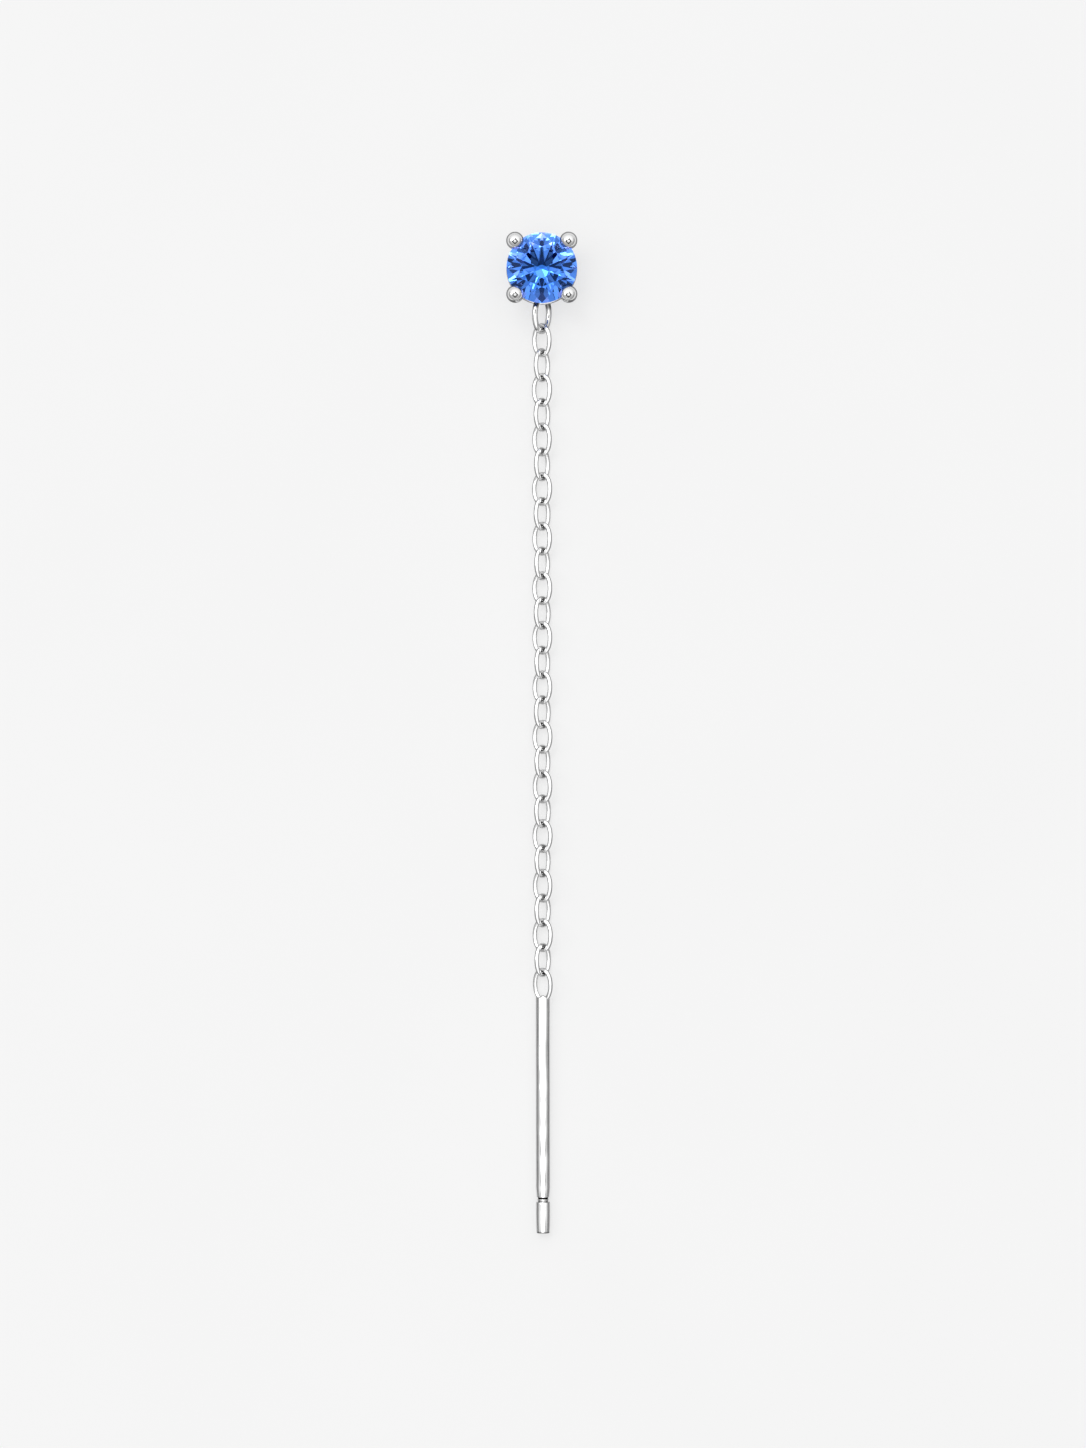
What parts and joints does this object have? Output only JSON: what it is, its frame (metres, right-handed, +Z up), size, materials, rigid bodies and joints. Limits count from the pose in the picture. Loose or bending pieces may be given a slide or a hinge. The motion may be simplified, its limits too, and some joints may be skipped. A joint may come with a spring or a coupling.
{
  "type": "threader earring",
  "caption": "Threader earring: round brilliant blue stone in a ball-tipped prong basket, fine cable chain, and a straight post with a grooved tip",
  "frame": {"origin": "middle of the straight laid-out earring's whole length and width, on the flat surface that it lies on", "axes": "+Z up from the surface, +Y along the chain from the post's tip towards the stone, +X across"},
  "size_m": [0.004, 0.0568, 0.0029],
  "materials": {
    "silver": "highly polished silver",
    "stone": "polished facets, saturated cornflower blue"
  },
  "bodies": {
    "root": {"setting": "silver", "stone": "stone", "jump_ring": "silver", "link_01": "silver", "link_02": "silver", "link_03": "silver", "link_04": "silver", "link_05": "silver", "link_06": "silver", "link_07": "silver", "link_08": "silver", "link_09": "silver", "link_10": "silver", "link_11": "silver", "link_12": "silver", "link_13": "silver", "link_14": "silver", "link_15": "silver", "link_16": "silver", "link_17": "silver", "link_18": "silver", "link_19": "silver", "link_20": "silver", "link_21": "silver", "link_22": "silver", "link_23": "silver", "link_24": "silver", "link_25": "silver", "link_26": "silver", "post": "silver"}
  },
  "joints": []
}
